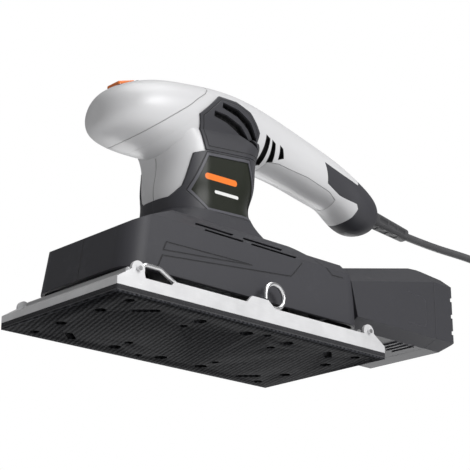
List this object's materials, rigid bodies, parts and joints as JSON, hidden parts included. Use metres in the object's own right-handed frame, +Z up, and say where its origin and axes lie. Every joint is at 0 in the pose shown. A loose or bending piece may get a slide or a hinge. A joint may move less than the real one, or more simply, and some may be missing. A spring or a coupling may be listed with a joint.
{
  "type": "half-sheet orbital sander",
  "caption": "Corded half-sheet orbital sander with a rectangular hook-faced pad, wire paper clamps, palm pommel and grip bar, rear dust box and mains cord with plug.",
  "frame": {"origin": "centre of the pad's underside, on the surface the sander stands on", "axes": "+X towards the dust box and cord, +Y to the machine's right, +Z up"},
  "size_m": [0.6, 0.1345, 0.1806],
  "materials": {
    "hook_cloth": "woven hook cloth",
    "pad_foam": "cellular",
    "tray_metal": "bare rolled sheet",
    "wire_metal": "bright drawn wire",
    "charcoal_plastic": "fine spark texture",
    "silver_plastic": "satin",
    "label_film": "gloss film",
    "grip_rubber": "soft satin",
    "orange_plastic": "moulded gloss",
    "cast_metal": "die cast",
    "steel_parts": "ground",
    "lamination_steel": "stacked sheet",
    "copper_wire": "enamelled",
    "carbon": "pressed carbon",
    "black_rubber": "moulded",
    "cord_rubber": "satin sheath",
    "filter_paper": "pleated paper"
  },
  "bodies": {
    "housing": {"housing_left": "charcoal_plastic", "housing_right": "charcoal_plastic", "housing_screws": "steel_parts", "fan_baffle": "charcoal_plastic", "rubber_posts": "black_rubber", "bearing_plate": "cast_metal", "lower_bearing": "steel_parts", "upper_bearing": "steel_parts", "bearing_bridge": "charcoal_plastic", "stator_core": "lamination_steel", "field_windings": "copper_wire", "brushes": "carbon", "brush_holders": "copper_wire", "brush_springs": "steel_parts", "grip_insert": "grip_rubber", "rear_collar": "charcoal_plastic", "pommel_cap": "silver_plastic", "handle_left": "silver_plastic", "handle_right": "silver_plastic", "handle_screws": "steel_parts", "side_trim_left": "charcoal_plastic", "side_trim_right": "charcoal_plastic", "label_left": "label_film", "label_right": "label_film", "vent_shield_left": "charcoal_plastic", "vent_shield_right": "charcoal_plastic", "switch_body": "charcoal_plastic", "rocker_pin": "steel_parts", "cord_boot": "black_rubber", "cord_inner": "cord_rubber", "cord_clamp": "charcoal_plastic", "capacitor": "orange_plastic", "cord_tube": "cord_rubber", "cord_coil": "cord_rubber", "cord_lead": "cord_rubber", "plug_body": "black_rubber", "plug_pins": "steel_parts", "dust_duct": "charcoal_plastic"},
    "rotor": {"armature_shaft": "steel_parts", "eccentric": "cast_metal", "fan": "charcoal_plastic", "armature_core": "lamination_steel", "armature_windings": "copper_wire", "commutator": "copper_wire"},
    "platen": {"platen": "tray_metal", "platen_hub": "cast_metal", "hub_screws": "steel_parts", "eccentric_bearing": "steel_parts", "post_studs": "steel_parts", "pad_foam": "pad_foam", "pad_facing": "hook_cloth"},
    "front_clamp": {"front_clamp_lever": "wire_metal", "front_clamp_bar": "steel_parts"},
    "rear_clamp": {"rear_clamp_lever": "wire_metal", "rear_clamp_bar": "steel_parts"},
    "rocker": {"rocker_switch": "orange_plastic"},
    "dust_box": {"dust_box": "charcoal_plastic"},
    "dust_lid": {"dust_lid": "charcoal_plastic", "dust_filter": "filter_paper"}
  },
  "joints": [
    {"name": "rotor_spin", "type": "hinge", "parent": "housing", "child": "rotor", "pos_m": [-0.004, 0, 0], "axis": [0, 0, 1], "continuous": true},
    {"name": "platen_orbit", "type": "hinge", "parent": "rotor", "child": "platen", "pos_m": [-0.003, 0, 0], "axis": [0, 0, 1], "continuous": true},
    {"name": "front_clamp_lift", "type": "hinge", "parent": "platen", "child": "front_clamp", "pos_m": [-0.0995, 0, 0.0162], "axis": [0, -1, 0], "range_deg": [0, 35]},
    {"name": "rear_clamp_lift", "type": "hinge", "parent": "platen", "child": "rear_clamp", "pos_m": [0.0995, 0, 0.0162], "axis": [0, 1, 0], "range_deg": [0, 35]},
    {"name": "switch_rock", "type": "hinge", "parent": "housing", "child": "rocker", "pos_m": [-0.07055, 0, 0.16071], "axis": [0, -1, 0], "range_deg": [0, 14]},
    {"name": "dust_box_pull", "type": "slide", "parent": "housing", "child": "dust_box", "axis": [1, 0, 0], "range_m": [0, 0.06]},
    {"name": "dust_lid_pull", "type": "slide", "parent": "dust_box", "child": "dust_lid", "axis": [1, 0, 0], "range_m": [0, 0.03]}
  ],
  "couplings": [
    {"joint": "platen_orbit", "follows": "rotor_spin", "ratio": -1}
  ]
}
